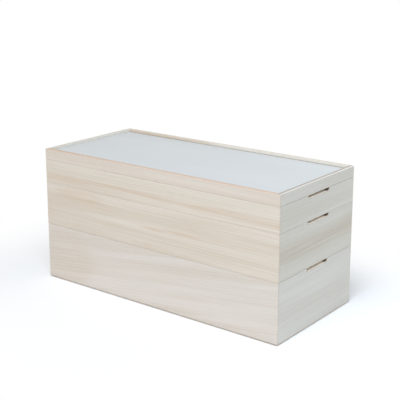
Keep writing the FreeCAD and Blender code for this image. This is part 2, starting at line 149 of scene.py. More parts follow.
def lay_out(tree, node, slope=0.0):
    """A board's corners and axes, and its millimetres along the grain, up its width and through it.
    A slope tilts the grain, as much up the width for each millimetre along."""
    low, high = (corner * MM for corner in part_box(node))
    size = high - low
    grain, across, through = sorted((X, Y, Z), key=lambda axis: -size[axis])
    in_mm = add(tree, "VectorMath", {0: add(tree, "TexCoord", out="Object"), "Scale": MM}, operation="SCALE")
    axes = add(tree, "SeparateXYZ", {0: in_mm}).node.outputs
    rise = add(tree, "Math", {0: axes[grain], 1: -slope, 2: axes[across]}, operation="MULTIPLY_ADD")
    lie = add(tree, "CombineXYZ", {0: axes[grain], 1: rise, 2: axes[through]})
    return SimpleNamespace(low=low, high=high, size=size, grain=grain, across=across,
                           axes=axes, rise=rise, lie=lie)


def stretched(tree, board, marks, seed):
    """Noise whose marks are drawn out along the grain of a board."""
    along, across, detail = marks
    drawn = add(tree, "Mapping", {"Vector": board.lie, "Scale": (1 / along, 1 / across, 1 / across),
                                  "Location": tuple(seed * step for step in SEED_STEPS)})
    return add(tree, "TexNoise", {"Vector": drawn, "Scale": 1.0, "Detail": detail})


def ring_lines(tree, rings, rise, peak):
    """A line for each ring, which darkens slowly from rise to peak and then breaks off, as late wood does."""
    phase = add(tree, "Math", {0: rings}, operation="FRACT")
    start = add(tree, "MapRange", {0: phase, 1: rise, 2: peak}, interpolation_type="SMOOTHSTEP")
    stop = add(tree, "MapRange", {0: phase, 1: 1.0, 2: peak})
    return add(tree, "Math", {0: start, 1: stop}, operation="MULTIPLY")


def late_wood(tree, board, strip_chance, seed):
    """Faint dark lines of late wood, a ring apart, that sway along the board and start anew in each strip."""
    sway = stretched(tree, board, SWAYS, seed + 3.0)
    swayed = add(tree, "Math", {0: sway, 1: RING_SWAY, 2: board.rise}, operation="MULTIPLY_ADD")
    rings = add(tree, "Math", {0: swayed, 1: 1 / RING_WIDTH, 2: strip_chance}, operation="MULTIPLY_ADD")
    return ring_lines(tree, rings, RING_RISE, RING_PEAK)


def heartwood(tree, colour, board, streaks, heart, bands, veining):
    """Streaks of heartwood along a board, each pointed at its ends. A streak is (height share, half width
    in mm, start share, end share, strength) of the board."""
    along = board.axes[board.grain]
    for height_share, half_width, start_share, end_share, strength in streaks:
        centre = board.low[board.across] + height_share * board.size[board.across]
        start = board.low[board.grain] + start_share * board.size[board.grain]
        end = board.low[board.grain] + end_share * board.size[board.grain]
        off = add(tree, "Math", {0: bands, 1: STREAK_WANDER, 2: -STREAK_WANDER / 2 - centre},
                  operation="MULTIPLY_ADD")
        off = add(tree, "Math", {0: board.rise, 1: off}, operation="ADD")
        away = add(tree, "Math", {0: off}, operation="ABSOLUTE")
        for tip, inside in ((start, start + STREAK_FADE), (end, end - STREAK_FADE)):
            narrower = add(tree, "MapRange", {0: along, 1: tip, 2: inside, 3: half_width, 4: 0.0})
            away = add(tree, "Math", {0: away, 1: narrower}, operation="ADD")
        mask = add(tree, "MapRange", {0: away, 1: half_width, 2: 0.0, 4: strength},
                   interpolation_type="SMOOTHERSTEP")
        patchy = add(tree, "MapRange", {0: veining, **STREAK_PATCHES})
        mask = add(tree, "Math", {0: mask, 1: patchy}, operation="MULTIPLY")
        colour = add(tree, "Mix", {0: mask, FROM: colour, TO: linear(heart)}, **COLOUR_MIX)
    return colour


def bare_edges(tree, colour, board, facings, edge, seam):
    """Long edges and end grain, browner than the planed face, and painted shade on the lower arris for the
    seam's dark line, apart from the stretch over a finger slot."""
    edges = ((board.across, edge, RAW_EDGE_SHARE), (board.grain, END_GRAIN, END_GRAIN_SHARE))
    for axis, edge_colour, share in edges:
        turned = add(tree, "MapRange", {0: facings[axis], **SQUARE_ON, 4: share},
                     interpolation_type="SMOOTHSTEP")
        colour = add(tree, "Mix", {0: turned, FROM: colour, TO: linear(edge_colour)}, **COLOUR_MIX)
    foot = board.low.z
    # Painted shade on the lower arris, for the seam's dark line
    arris = add(tree, "MapRange", {0: board.axes[Z], 1: foot + SEAM_ARRIS, 2: foot + SEAM_ARRIS / 2, 4: seam})
    if board.grain == Y:
        half = SLOT_LENGTH / 2
        beside = add(tree, "Math", {0: board.axes[Y]}, operation="ABSOLUTE")
        off_slot = add(tree, "MapRange", {0: beside, 1: half - CLEAN_FADE, 2: half + CLEAN_FADE})
        arris = add(tree, "Math", {0: arris, 1: off_slot}, operation="MULTIPLY")
    return add(tree, "Mix", {0: arris, FROM: colour, TO: linear(SEAM_SHADE)}, **COLOUR_MIX)


def paulownia(node, tones, seed, streaks=(), slope=0.0, edge=RAW_EDGE, seam=SEAM_SHARE, tint=None):
    """Dress a board in planed bare paulownia: pale, matt and silky, with soft tan bands, faint rings and
    hair-fine pores. Seam is how much painted shade darkens its foot along the seam, and tint adds what
    this board alone shows."""
    tree, surface, finish = blank_finish("paulownia_" + node)
    board = lay_out(tree, node, slope)
    facing = add(tree, "VectorMath", {0: add(tree, "TexCoord", out="Normal")}, operation="ABSOLUTE")
    facings = add(tree, "SeparateXYZ", {0: facing}).node.outputs

    # Broad bands, narrow veins and fibres, each drawn out along the grain, and a tone for each glued strip
    bands = stretched(tree, board, BANDS, seed)
    veining = stretched(tree, board, VEINS, seed + 0.5)
    fibres = stretched(tree, board, FIBRES, seed)
    row = add(tree, "Math", {0: board.rise, 1: 1 / STRIP_WIDTH, 2: seed * STRIP_SHIFT},
              operation="MULTIPLY_ADD")
    number = add(tree, "Math", {0: row}, operation="FLOOR")
    strip_chance = add(tree, "TexWhiteNoise", {"W": number}, noise_dimensions="1D")
    tone = add(tree, "Math", {0: veining, 1: VEIN_SHARE}, operation="MULTIPLY")
    tone = add(tree, "Math", {0: bands, 1: BAND_SHARE, 2: tone}, operation="MULTIPLY_ADD")
    tone = add(tree, "Math", {0: strip_chance, 1: STRIP_SHARE, 2: tone}, operation="MULTIPLY_ADD")
    colour = add(tree, "ValToRGB", {0: tone}, stops={PALE_TONE: tones["pale"], TAN_TONE: tones["tan"]})
    rings = late_wood(tree, board, strip_chance, seed)
    patches = add(tree, "MapRange", {0: bands, **NOISE_CORE, **RING_SHARES})
    line = add(tree, "Math", {0: rings, 1: patches}, operation="MULTIPLY")
    colour = add(tree, "Mix", {0: line, FROM: colour, TO: linear(tones["vein"])}, **COLOUR_MIX)
    colour = heartwood(tree, colour, board, streaks, tones["heart"], bands, veining)
    colour = bare_edges(tree, colour, board, facings, edge, seam)
    if tint:
        colour = tint(tree, colour, board, facings)

    # Pores shade the colour, and with the rings they give the planed face its faint relief
    pores = add(tree, "MapRange", {0: fibres, **NOISE_SPAN, **PORE_SHADES})
    colour = add(tree, "VectorMath", {0: colour, "Scale": pores}, operation="SCALE")
    tree.links.new(colour, surface["Base Color"])
    matt = add(tree, "MapRange", {0: veining, **NOISE_SPAN, **PLANED_ROUGHNESS})
    tree.links.new(matt, surface["Roughness"])
    relief = add(tree, "Math", {0: rings, 1: RING_RELIEF, 2: fibres}, operation="MULTIPLY_ADD")
    bump = add(tree, "Bump", {"Height": relief, **PLANED_RELIEF}, out="Normal")
    tree.links.new(bump, surface["Normal"])
    dress(node, finish)


SLOT_DEPTH = 8.0
SLOT_MARGIN = 1.0
SLOT_INSIDE = {1: 0.90, 2: 0.60}
# Routed wood made near white as painted light against the slot's shade, and painted shade for its back end
ROUTED_SLOT_LIGHTENED = "FBF2E4"
SLOT_END_SHADE = "8E7964"
SLOT_SHADE_LENGTH = 20.0
SLOT_SHADE_FADE = 9.0
HANDLED_EDGE = "B99C80"
HANDLED_HEIGHT = 4.0
HANDLED_SHARE = 0.45
# Painted shade near the floor, darker towards the foot
FOOT_SHADE = "9C8C7C"
FOOT_SHADE_HEIGHT = 22.0
FOOT_SHADE_SHARE = 0.16


def slot_tint(tree, colour, board, facings):
    """Routed wood inside a finger slot, lightened as painted light against its shade, with painted shade
    at its back end, and below it a faint brown edge from handling."""
    half = SLOT_LENGTH / 2
    floor_level = board.high.z - SLOT_DEPTH
    brink = floor_level - SLOT_MARGIN
    shade_start = half - SLOT_SHADE_LENGTH
    beside = add(tree, "Math", {0: board.axes[Y]}, operation="ABSOLUTE")
    within = add(tree, "MapRange", {0: beside, 1: half + 2 * SLOT_MARGIN, 2: half + SLOT_MARGIN})
    handled = add(tree, "MapRange", {0: board.axes[Z], 1: floor_level - HANDLED_HEIGHT, 2: brink,
                                     4: HANDLED_SHARE})
    handled = add(tree, "Math", {0: within, 1: handled}, operation="MULTIPLY")
    colour = add(tree, "Mix", {0: handled, FROM: colour, TO: linear(HANDLED_EDGE)}, **COLOUR_MIX)
    above = add(tree, "MapRange", {0: board.axes[Z], 1: brink - SLOT_MARGIN, 2: brink})
    inside = add(tree, "MapRange", {0: facings[X], **SLOT_INSIDE})
    routed = add(tree, "Math", {0: within, 1: above}, operation="MULTIPLY")
    routed = add(tree, "Math", {0: routed, 1: inside}, operation="MULTIPLY")
    colour = add(tree, "Mix", {0: routed, FROM: colour, TO: linear(ROUTED_SLOT_LIGHTENED)}, **COLOUR_MIX)
    # Painted shade at the slot's back end
    far_end = add(tree, "MapRange", {0: board.axes[Y], 1: shade_start, 2: shade_start + SLOT_SHADE_FADE},
               interpolation_type="SMOOTHSTEP")
    end_shade = add(tree, "Math", {0: routed, 1: far_end}, operation="MULTIPLY")
    return add(tree, "Mix", {0: end_shade, FROM: colour, TO: linear(SLOT_END_SHADE)}, **COLOUR_MIX)


def foot_tint(tree, colour, board, facings):
    """Painted shade, darker towards the foot of a long board."""
    foot = board.low.z
    shaded_foot = add(tree, "MapRange", {0: board.axes[Z], 1: foot + FOOT_SHADE_HEIGHT, 2: foot, 4: FOOT_SHADE_SHARE})
    return add(tree, "Mix", {0: shaded_foot, FROM: colour, TO: linear(FOOT_SHADE)}, **COLOUR_MIX)


LOWER_FRONT_TONES = {"pale": "DCD4CB", "tan": "D5CBBF", "vein": "C3B6A8", "heart": "CDBEAB"}
LOWER_END_TONES = {"pale": "E0DDD7", "tan": "D8D4CB", "vein": "C6C2B7", "heart": "CEC8BA"}
LOWER_FRONT_STREAKS = ((0.58, 190, -0.3, 0.30, 0.50),)
LOWER_RIGHT_STREAKS = ((0.30, 60, -0.2, 1.2, 0.35),)
paulownia("lower_box_front_board", LOWER_FRONT_TONES, 3, LOWER_FRONT_STREAKS, slope=0.12, seam=0.0,
          tint=foot_tint)
paulownia("lower_box_back_board", LOWER_FRONT_TONES, 11, slope=-0.08, seam=0.0, tint=foot_tint)
paulownia("lower_box_left_end", LOWER_END_TONES, 5, seam=0.0, tint=slot_tint)
paulownia("lower_box_right_end", LOWER_END_TONES, 8, LOWER_RIGHT_STREAKS, seam=0.0, tint=slot_tint)

# Base of the lower box
# A thin sheet of paulownia-faced plywood, let into a groove round the inside of the walls
# high enough for the casters to swivel under it.
PLY_STOPS = {0.20: "DDD3C6", 0.75: "CFC1AE"}
PLY_FIGURE = (520.0, 130.0, 1.0)
PLY_FIBRES = (30.0, 1.2, 2.0)
PLY_FIBRE_SHARE = 0.5
PLY_ROUGHNESS = 0.7
PLY_RELIEF = {"Strength": 0.3, "Distance": 0.1 / MM}
PEELED_RINGS = 16
PEELED_RISE = 0.1
PEELED_PEAK = 0.92
PEELED_SHARE = 0.4


def faced_ply(node, seed):
    """Dress a base in paulownia-faced plywood: on the peeled face the rings wander in long loops, dull and
    a little warm."""
    tree, surface, finish = blank_finish("paulownia_ply_" + node)
    board = lay_out(tree, node)
    figure = stretched(tree, board, PLY_FIGURE, seed)
    fibres = stretched(tree, board, PLY_FIBRES, seed)
    loops = add(tree, "Math", {0: figure, 1: PEELED_RINGS}, operation="MULTIPLY")
    rings = ring_lines(tree, loops, PEELED_RISE, PEELED_PEAK)
    tone = add(tree, "Math", {0: rings, 1: PEELED_SHARE}, operation="MULTIPLY")
    tone = add(tree, "Math", {0: fibres, 1: PLY_FIBRE_SHARE, 2: tone}, operation="MULTIPLY_ADD")
    colour = add(tree, "ValToRGB", {0: tone}, stops=PLY_STOPS)
    tree.links.new(colour, surface["Base Color"])
    surface["Roughness"].default_value = PLY_ROUGHNESS
    bump = add(tree, "Bump", {"Height": fibres, **PLY_RELIEF}, out="Normal")
    tree.links.new(bump, surface["Normal"])
    dress(node, finish)


faced_ply("lower_box_base", 1.3)

# Caster bearers
# Two paulownia boards, left as the saw cut them, are glued under the base near its ends
# and give the caster screws something to bite in.
SAWN_STOPS = {0.35: "E2D8CA", 0.66: "D2C2AD"}
SAWN_GRAIN = (180.0, 4.0, 3.0)
SAWN_GRAIN_SHARE = 0.75
SAWN_ROUGHNESS = 0.82
SAWN_RELIEF = {"Strength": 0.5, "Distance": 0.2 / MM}
BLADE_MARKS = (2.4, 60.0, 1.0)
BLADE_SHARE = 0.25
BLADE_RELIEF = 2.0


def sawn_paulownia(node, seed, stops=SAWN_STOPS):
    """Dress a piece in paulownia left from the saw: browner and duller than a planed board, with blade marks
    across the grain."""
    tree, surface, finish = blank_finish("sawn_paulownia_" + node)
    board = lay_out(tree, node)
    grain = stretched(tree, board, SAWN_GRAIN, seed)
    marks = stretched(tree, board, BLADE_MARKS, seed)
    tone = add(tree, "Math", {0: marks, 1: BLADE_SHARE}, operation="MULTIPLY")
    tone = add(tree, "Math", {0: grain, 1: SAWN_GRAIN_SHARE, 2: tone}, operation="MULTIPLY_ADD")
    colour = add(tree, "ValToRGB", {0: tone}, stops=stops)
    tree.links.new(colour, surface["Base Color"])
    surface["Roughness"].default_value = SAWN_ROUGHNESS
    relief = add(tree, "Math", {0: marks, 1: BLADE_RELIEF, 2: grain}, operation="MULTIPLY_ADD")
    bump = add(tree, "Bump", {"Height": relief, **SAWN_RELIEF}, out="Normal")
    tree.links.new(bump, surface["Normal"])
    dress(node, finish)


sawn_paulownia("left_caster_bearer", 20)
sawn_paulownia("right_caster_bearer", 21)

# Caster plates, kingpins, forks and axles
# Plates and forks are pressed from sheet steel, kingpins and axles are turned and riveted over,
# and all are zinc plated.
CORNERS = ("front_left", "front_right", "back_left", "back_right")
ZINC_STOPS = {0.35: "B3B8BA", 0.60: "CBCFD1"}
ZINC_CLOUD = 3.0
ZINC_DETAIL = 4.0
ZINC_ROUGHNESS = {3: 0.48, 4: 0.30}


def zinc_plated(name, stops):
    """Zinc plating on steel: a cool, soft mirror with dull clouds a few millimetres wide."""
    tree, surface, finish = blank_finish(name)
    place = add(tree, "TexCoord", out="Object")
    clouds = add(tree, "TexNoise", {"Vector": place, "Scale": MM / ZINC_CLOUD, "Detail": ZINC_DETAIL})
    colour = add(tree, "ValToRGB", {0: clouds}, stops=stops)
    tree.links.new(colour, surface["Base Color"])
    surface["Metallic"].default_value = 1.0
    sheen = add(tree, "MapRange", {0: clouds, **NOISE_CORE, **ZINC_ROUGHNESS})
    tree.links.new(sheen, surface["Roughness"])
    return finish


zinc_plate = zinc_plated("zinc_plated_steel", ZINC_STOPS)
for corner in CORNERS:
    for piece in ("plate", "kingpin", "fork", "axle"):
        dress(f"{corner}_caster_{piece}", zinc_plate)

# Race balls
# Ten hardened steel balls run in the groove between each plate and the crown of its fork,
# ground and polished, with a film of grease.
GREASE_STOPS = {0.50: "D3D6DA", 0.75: "8C7A52"}
GREASE_SMEAR = 1.5
GREASE_DETAIL = 2.0
BALL_ROUGHNESS = 0.12
tree, surface, greased_balls = blank_finish("greased_bearing_steel")
place = add(tree, "TexCoord", out="Object")
film = add(tree, "TexNoise", {"Vector": place, "Scale": MM / GREASE_SMEAR, "Detail": GREASE_DETAIL})
colour = add(tree, "ValToRGB", {0: film}, stops=GREASE_STOPS)
tree.links.new(colour, surface["Base Color"])
surface["Metallic"].default_value = 1.0
surface["Roughness"].default_value = BALL_ROUGHNESS
dress("caster_race_balls", greased_balls)

# Wheels
# Each wheel is one moulding of dark nylon, bored for its axle;
# the floor has scuffed its tread paler than its sides.
NYLON = "2B2C2E"
NYLON_SCUFFED = "5D5B57"
NYLON_SCUFF = 2.5
NYLON_DETAIL = 5.0
NYLON_TREAD = {1: 0.90, 2: 0.40}
NYLON_WEAR = {3: 0.10, 4: 0.70}
NYLON_ROUGHNESS = {3: 0.38, 4: 0.75}
NYLON_RELIEF = {"Strength": 0.25, "Distance": 0.1 / MM}
tree, surface, moulded_nylon = blank_finish("moulded_nylon")
facing = add(tree, "VectorMath", {0: add(tree, "TexCoord", out="Normal")}, operation="ABSOLUTE")
sideways = add(tree, "SeparateXYZ", {0: facing}, out=Y)
place = add(tree, "TexCoord", out="Object")
scuffs = add(tree, "TexNoise", {"Vector": place, "Scale": MM / NYLON_SCUFF, "Detail": NYLON_DETAIL})
tread = add(tree, "MapRange", {0: sideways, **NYLON_TREAD})
worn = add(tree, "MapRange", {0: scuffs, **NOISE_CORE, **NYLON_WEAR})
worn = add(tree, "Math", {0: worn, 1: tread}, operation="MULTIPLY")
colour = add(tree, "Mix", {0: worn, FROM: linear(NYLON), TO: linear(NYLON_SCUFFED)}, **COLOUR_MIX)
tree.links.new(colour, surface["Base Color"])
rough = add(tree, "MapRange", {0: worn, **NYLON_ROUGHNESS})
tree.links.new(rough, surface["Roughness"])
bump = add(tree, "Bump", {"Height": scuffs, **NYLON_RELIEF}, out="Normal")
tree.links.new(bump, surface["Normal"])
for corner in CORNERS:
    dress(f"{corner}_caster_wheel", moulded_nylon)

# Caster screws
# Four pan-headed wood screws of zinc-plated steel hold each plate up to its bearer,
# each with a rolled thread and a cross recess for the driver.
PLATE_HOLE_INSET = 5.5
PAN_HEAD_RADIUS = 3.4
PAN_HEAD_HEIGHT = 2.0
PAN_HEAD_SEGMENTS = 4
PAN_SCREW_LENGTH = 12.0
CORE_RADIUS = 1.3
CREST_RADIUS = 1.75
THREAD_PITCH = 1.5
SCREW_TIP = 3.0
BLUNT_SHARE = 0.08
RECESS_REACH = 1.9
RECESS_WIDTH = 0.55
RECESS_DEPTH = 1.1
RECESS_TAPER_SHARE = 0.6
FACETS = 24
END_SHARE = 0.01
WELD = 0.01
SHARP_EDGE = math.radians(35)
TURN_OF_NEXT_SCREW = 2.4
UP = Vector((0, 0, 1))
SCREW_ZINC_STOPS = {0.35: "B8B6A6", 0.60: "D0CFC4"}
zinc_screw = zinc_plated("zinc_plated_screw_steel", SCREW_ZINC_STOPS)


def pick(kind, test):
    """In edit mode, select only the faces or edges whose middle passes a test."""
    bpy.ops.mesh.select_mode(type=kind)
    bpy.ops.mesh.select_all(action="DESELECT")
    drawing = bmesh.from_edit_mesh(bpy.context.object.data)
    for part in drawing.faces if kind == "FACE" else drawing.edges:
        middle = sum((corner.co for corner in part.verts), Vector()) / len(part.verts)
        part.select_set(test(middle * MM))
    bmesh.update_edit_mesh(bpy.context.object.data)


def draw_shank(length):
    """Draw the selected face out into a shank with a pointed tip."""
    for rise in (length - SCREW_TIP, SCREW_TIP):
        bpy.ops.mesh.extrude_region_move(
            TRANSFORM_OT_translate={"value": (0, 0, rise / MM), "orient_type": "GLOBAL"})
    bpy.ops.transform.resize(value=(BLUNT_SHARE, BLUNT_SHARE, 1))
    bpy.ops.object.mode_set(mode="OBJECT")


def sink_recess(screw, level):
    """Sink a cross recess up into a head whose face looks down at a level, one tapered wing at a time."""
    # A square with sides of 2 mm, given by half its diagonal, is scaled to each wing
    half_diagonal = math.sqrt(2) / MM
    for reach, width in ((RECESS_REACH, RECESS_WIDTH), (RECESS_WIDTH, RECESS_REACH)):
        bpy.ops.mesh.primitive_cone_add(
            vertices=4, radius1=half_diagonal, radius2=half_diagonal * RECESS_TAPER_SHARE,
            depth=2 * RECESS_DEPTH / MM, location=(0, 0, level / MM), rotation=(0, 0, math.pi / 4))
        wing = bpy.context.object
        bpy.ops.object.transform_apply(location=True, rotation=True, scale=True)
        wing.scale = (reach, width, 1)
        bpy.ops.object.transform_apply(location=True, rotation=True, scale=True)
        cut = screw.modifiers.new("recess", "BOOLEAN")
        cut.object = wing
        cut.operation = "DIFFERENCE"
        bpy.context.view_layer.objects.active = screw
        bpy.ops.object.modifier_apply(modifier="recess")
        bpy.data.objects.remove(wing)


def roll_thread(screw, start, length):
    """Wind a thread round the shank: one ridge, closed at both ends and half sunk in the core."""
    bpy.ops.object.select_all(action="DESELECT")
    bpy.ops.mesh.primitive_circle_add(
        vertices=4, radius=(CREST_RADIUS - CORE_RADIUS) / MM, location=(CORE_RADIUS / MM, 0, start / MM),
        rotation=(math.pi / 2, 0, 0))
    ridge = bpy.context.object
    bpy.ops.object.transform_apply(location=True, rotation=True, scale=True)
    coil = ridge.modifiers.new("coil", "SCREW")
    coil.screw_offset = THREAD_PITCH / MM
    coil.iterations = int(length / THREAD_PITCH)
    coil.steps = FACETS // 2
    coil.render_steps = FACETS // 2
    bpy.ops.object.modifier_apply(modifier="coil")
    bpy.ops.object.mode_set(mode="EDIT")
    bpy.ops.mesh.select_all(action="SELECT")
    bpy.ops.mesh.remove_doubles(threshold=WELD / MM)
    bpy.ops.mesh.fill_holes(sides=4)
    bpy.ops.mesh.normals_make_consistent(inside=False)
    bpy.ops.object.mode_set(mode="OBJECT")
    screw.select_set(True)
    bpy.context.view_layer.objects.active = screw
    bpy.ops.object.join()
    bpy.ops.object.shade_smooth_by_angle(angle=SHARP_EDGE)
    screw.data.materials.clear()
    screw.data.materials.append(zinc_screw)


def drive(screw, node, body, places):
    """Set copies of a screw at (place, direction) pairs, each turned on from the last, as one group
    for a node."""
    bpy.ops.object.select_all(action="DESELECT")
    for i, (place, direction) in enumerate(places):
        copy = screw.copy()
        copy.data = screw.data.copy()
        bpy.context.scene.collection.objects.link(copy)
        lean = direction.to_track_quat("Z", "Y").to_matrix().to_4x4()
        copy.matrix_world = Matrix.Translation(place) @ lean @ Matrix.Rotation(i * TURN_OF_NEXT_SCREW, 4, "Z")
        copy.select_set(True)
        bpy.context.view_layer.objects.active = copy
    bpy.ops.object.join()
    group = bpy.context.object
    bpy.ops.object.transform_apply(location=True, rotation=True, scale=True)
    group.name = node + "_threaded"
    bpy.data.objects.remove(screw)
    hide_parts(node)
    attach(group, body)


bpy.ops.object.select_all(action="DESELECT")
bpy.ops.mesh.primitive_cylinder_add(
    vertices=FACETS, radius=PAN_HEAD_RADIUS / MM, depth=PAN_HEAD_HEIGHT / MM,
    location=(0, 0, -PAN_HEAD_HEIGHT / 2 / MM))
pan_screw = bpy.context.object
bpy.ops.object.transform_apply(location=True, rotation=True, scale=True)
bpy.ops.object.mode_set(mode="EDIT")
pick("EDGE", lambda middle: middle.z < -PAN_HEAD_HEIGHT * (1 - END_SHARE))
bpy.ops.mesh.bevel(offset=PAN_HEAD_HEIGHT / 2 / MM, segments=PAN_HEAD_SEGMENTS, profile=0.5, affect="EDGES")
pick("FACE", lambda middle: middle.z > -PAN_HEAD_HEIGHT * END_SHARE)
bpy.ops.mesh.inset(thickness=(PAN_HEAD_RADIUS - CORE_RADIUS) / MM, depth=0)
draw_shank(PAN_SCREW_LENGTH)
sink_recess(pan_screw, -PAN_HEAD_HEIGHT)
roll_thread(pan_screw, THREAD_PITCH, PAN_SCREW_LENGTH - SCREW_TIP - THREAD_PITCH)
plate_places = []
for corner in CORNERS:
    low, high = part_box(f"{corner}_caster_plate")
    inset = PLATE_HOLE_INSET / MM
    plate_places += [(Vector((x, y, low.z)), UP) for x in (low.x + inset, high.x - inset)
                     for y in (low.y + inset, high.y - inset)]
drive(pan_screw, "caster_screws", "lower_box", plate_places)

# Walls of the middle box
# Four boards made as the lower box's are, from strips with more colour:
# soft tan streaks of heartwood run along the front, and a brown band crosses the right end.
MIDDLE_FRONT_TONES = {"pale": "DFD5C9", "tan": "D5C8B7", "vein": "C6B5A2", "heart": "CBAE8B"}
MIDDLE_END_TONES = {"pale": "DCD9D0", "tan": "D3CEC2", "vein": "C2BBAC", "heart": "C3B8A6"}
MIDDLE_FRONT_STREAKS = (
    (0.84, 18, -0.05, 0.38, 0.50), (0.35, 70, -0.15, 0.12, 0.25), (0.66, 8, -0.05, 0.44, 0.30),
    (0.46, 8, 0.38, 0.64, 0.60), (0.51, 12, 0.46, 0.78, 0.40), (0.57, 8, 0.62, 1.08, 0.30),
    (0.10, 14, 0.34, 0.62, 0.25), (0.98, 34, -0.3, 1.3, 0.14))
MIDDLE_BACK_STREAKS = ((0.4, 12, 0.2, 0.9, 0.6),)
MIDDLE_RIGHT_STREAKS = ((0.52, 48, -0.4, 1.4, 0.75), (0.75, 24, 0.60, 1.40, 0.30))
# How strongly painted shade darkens the seam at the foot of these boards
STRONG_SEAM_SHADE_SHARE = 0.35
paulownia("middle_box_front_board", MIDDLE_FRONT_TONES, 2, MIDDLE_FRONT_STREAKS)
paulownia("middle_box_back_board", MIDDLE_FRONT_TONES, 9, MIDDLE_BACK_STREAKS)
paulownia("middle_box_left_end", MIDDLE_END_TONES, 6, seam=STRONG_SEAM_SHADE_SHARE, tint=slot_tint)
paulownia("middle_box_right_end", MIDDLE_END_TONES, 4, MIDDLE_RIGHT_STREAKS, seam=STRONG_SEAM_SHADE_SHARE,
          tint=slot_tint)

# Base, battens and screws of the middle box
# A plywood base sits in its groove, and a ring of four sawn battens is screwed up to it from below,
# so that it drops inside the box underneath. The screws are countersunk flush.
SIDES = {
    "front": Vector((0, -1, 0)), "back": Vector((0, 1, 0)),
    "left": Vector((-1, 0, 0)), "right": Vector((1, 0, 0))}
BATTEN_SCREW_COUNTS = {"front": 4, "back": 4, "left": 2, "right": 2}
BATTEN_SCREW_INSET = 70.0
BATTEN_FLAT = 14.0
BASE_SCREW_COVER = 1.5
SUNK_HEAD_RADIUS = 3.5
SUNK_HEAD_HEIGHT = 1.8
SUNK_HEAD_EDGE = 0.2
SUNK_HEAD_SEGMENTS = 2
# A paler copy of the sawn wood: painted light for the battens seen in shade through the finger slots
LIT_BATTEN_STOPS = {0.35: "F9F2E7", 0.66: "F1E6D7"}


def ring_batten(piece, side, seed):
    """Dress one batten of a ring: the two across the ends, behind the finger slots, take a paler copy of
    the sawn wood as painted light against the shade they are seen in.
    """
    stops = LIT_BATTEN_STOPS if SIDES[side].x else SAWN_STOPS
    sawn_paulownia(f"{piece}_{side}_batten", seed, stops)


def countersunk_screw(length):
    """Wood screw with its flat head at the origin, looking down, and its point up."""
    bpy.ops.object.select_all(action="DESELECT")
    bpy.ops.mesh.primitive_cone_add(
        vertices=FACETS, radius1=SUNK_HEAD_RADIUS / MM, radius2=CORE_RADIUS / MM, depth=SUNK_HEAD_HEIGHT / MM,
        location=(0, 0, SUNK_HEAD_HEIGHT / 2 / MM))
    screw = bpy.context.object
    bpy.ops.object.transform_apply(location=True, rotation=True, scale=True)
    bpy.ops.object.mode_set(mode="EDIT")
    pick("EDGE", lambda middle: middle.z < SUNK_HEAD_HEIGHT * END_SHARE)
    bpy.ops.mesh.bevel(offset=SUNK_HEAD_EDGE / MM, segments=SUNK_HEAD_SEGMENTS, profile=0.5, affect="EDGES")
    pick("FACE", lambda middle: middle.z > SUNK_HEAD_HEIGHT * (1 - END_SHARE))
    draw_shank(length - SUNK_HEAD_HEIGHT)
    sink_recess(screw, 0)
    roll_thread(screw, SUNK_HEAD_HEIGHT + THREAD_PITCH, length - SUNK_HEAD_HEIGHT - SCREW_TIP - THREAD_PITCH)
    return screw


def along_batten(piece, side):
    """Places of a batten's screws, spread along its inner edge at floor level."""
    low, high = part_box(f"{piece}_{side}_batten")
    run, through = (Y, X) if SIDES[side].x else (X, Y)
    inner = (low + high) / 2 - SIDES[side] * (high - low)[through] / 2
    first = low[run] + BATTEN_SCREW_INSET / MM
    last = high[run] - BATTEN_SCREW_INSET / MM
    count = BATTEN_SCREW_COUNTS[side]
    places = []
    for i in range(count):
        place = Vector((inner.x, inner.y, 0))
        place[run] = first + (last - first) * i / (count - 1)
        places.append(place)
    return places


def hold_battens(piece, batten_seed, base_seed):
    """Base, battens and upright screws of a stacking box."""
    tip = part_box(f"{piece}_front_batten")[0].z
    places = []
    for i, side in enumerate(SIDES):
        ring_batten(piece, side, batten_seed + i)
        shift = SIDES[side] * (BATTEN_FLAT / 2 / MM) + UP * tip
        places += [(place + shift, UP) for place in along_batten(piece, side)]
    faced_ply(f"{piece}_base", base_seed)
    length = (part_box(f"{piece}_base")[1].z - tip) * MM - BASE_SCREW_COVER
    drive(countersunk_screw(length), f"{piece}_batten_screws", piece, places)


hold_battens("middle_box", 10, 7.0)

# Walls of the upper box
# The shallow box: four boards of the palest strips,
# with one long tan band of heartwood low along the front.
UPPER_FRONT_TONES = {"pale": "E0D7CB", "tan": "D9CEBF", "vein": "C9B9A5", "heart": "C9AF92"}
UPPER_END_TONES = {"pale": "DCD9D0", "tan": "D4D0C5", "vein": "C5BEB0", "heart": "C9C0AF"}
UPPER_FRONT_STREAKS = (
    (0.36, 22, -0.3, 1.3, 0.42), (0.41, 17, -0.4, 0.66, 0.18), (0.42, 12, 0.58, 0.96, 0.16),
    (0.24, 22, 0.56, 1.3, 0.45), (0.08, 30, -0.3, 1.3, 0.15))
UPPER_BACK_STREAKS = ((0.6, 12, 0.1, 0.8, 0.5),)
FAINT_SEAM_SHARE = 0.1
paulownia("upper_box_front_board", UPPER_FRONT_TONES, 1, UPPER_FRONT_STREAKS, seam=0.0)
paulownia("upper_box_back_board", UPPER_FRONT_TONES, 12, UPPER_BACK_STREAKS)
paulownia("upper_box_left_end", UPPER_END_TONES, 7, seam=FAINT_SEAM_SHARE, tint=slot_tint)
paulownia("upper_box_right_end", UPPER_END_TONES, 10, seam=FAINT_SEAM_SHARE, tint=slot_tint)

# Base, battens and screws of the upper box
# Made and fixed like those of the middle box.
hold_battens("upper_box", 9, 6.3)

